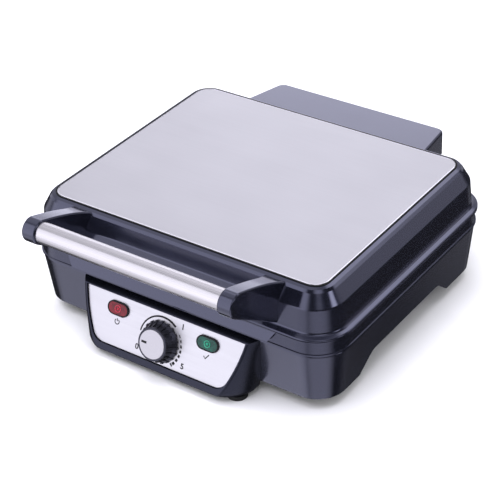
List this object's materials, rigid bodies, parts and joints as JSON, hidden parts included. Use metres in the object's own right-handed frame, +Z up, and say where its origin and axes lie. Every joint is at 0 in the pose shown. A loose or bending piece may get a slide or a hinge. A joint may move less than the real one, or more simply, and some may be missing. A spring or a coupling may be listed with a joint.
{
  "type": "waffle maker",
  "caption": "Tabletop waffle maker with a hinged lid carried by a raised tube handle, square waffle plates inside, and a sloping front control panel with indicator lamps and a browning dial.",
  "frame": {"origin": "on the table, under the middle of the closed appliance's overall length and width", "axes": "+Z up, -Y towards the user, +X to the user's right"},
  "size_m": [0.31, 0.3495, 0.1326],
  "materials": {
    "black_gloss_plastic": "polished moulded plastic",
    "brushed_steel_sheet": "fine brushed sheet",
    "satin_steel_tube": "satin polished tube",
    "coated_aluminium": "cast, dark non-stick coating",
    "element_steel": "heat-darkened tube",
    "reflector_aluminium": "bright pressed sheet",
    "black_matte_plastic": "fine matt grain",
    "foot_rubber": "matt",
    "red_lens": "translucent, polished",
    "green_lens": "translucent, polished",
    "bulb_glass": "clear neon envelope",
    "hinge_steel": "black painted pressing",
    "plated_steel": "zinc plated"
  },
  "bodies": {
    "base": {"lower_housing": "black_gloss_plastic", "bottom_cover": "black_matte_plastic", "rubber_feet": "foot_rubber", "control_housing": "black_gloss_plastic", "control_panel": "brushed_steel_sheet", "power_lamp_lens": "red_lens", "power_lamp_bulb": "bulb_glass", "ready_lamp_lens": "green_lens", "ready_lamp_bulb": "bulb_glass", "thermostat": "black_matte_plastic", "lower_waffle_plate": "coated_aluminium", "lower_heating_element": "element_steel", "lower_reflector": "reflector_aluminium", "lower_hinge_bracket": "hinge_steel", "hinge_pins": "plated_steel", "cord_bush": "black_matte_plastic", "cover_screws": "plated_steel"},
    "lid": {"upper_housing": "black_gloss_plastic", "top_plate": "brushed_steel_sheet", "left_handle_arm": "black_gloss_plastic", "right_handle_arm": "black_gloss_plastic", "handle_tube": "satin_steel_tube", "upper_waffle_plate": "coated_aluminium", "upper_heating_element": "element_steel", "upper_reflector": "reflector_aluminium", "upper_hinge_bracket": "hinge_steel", "hinge_cover": "black_gloss_plastic"},
    "knob": {"thermostat_shaft": "plated_steel", "dial_knob": "black_matte_plastic", "knob_cap": "brushed_steel_sheet"}
  },
  "joints": [
    {"name": "lid_hinge", "type": "hinge", "parent": "base", "child": "lid", "pos_m": [0, 0.15725, 0.0771], "axis": [-1, 0, 0], "range_deg": [0, 100]},
    {"name": "dial_turn", "type": "hinge", "parent": "base", "child": "knob", "pos_m": [0, -0.13677, 0.031], "axis": [0, 0.9397, -0.342], "range_deg": [0, 240]}
  ]
}
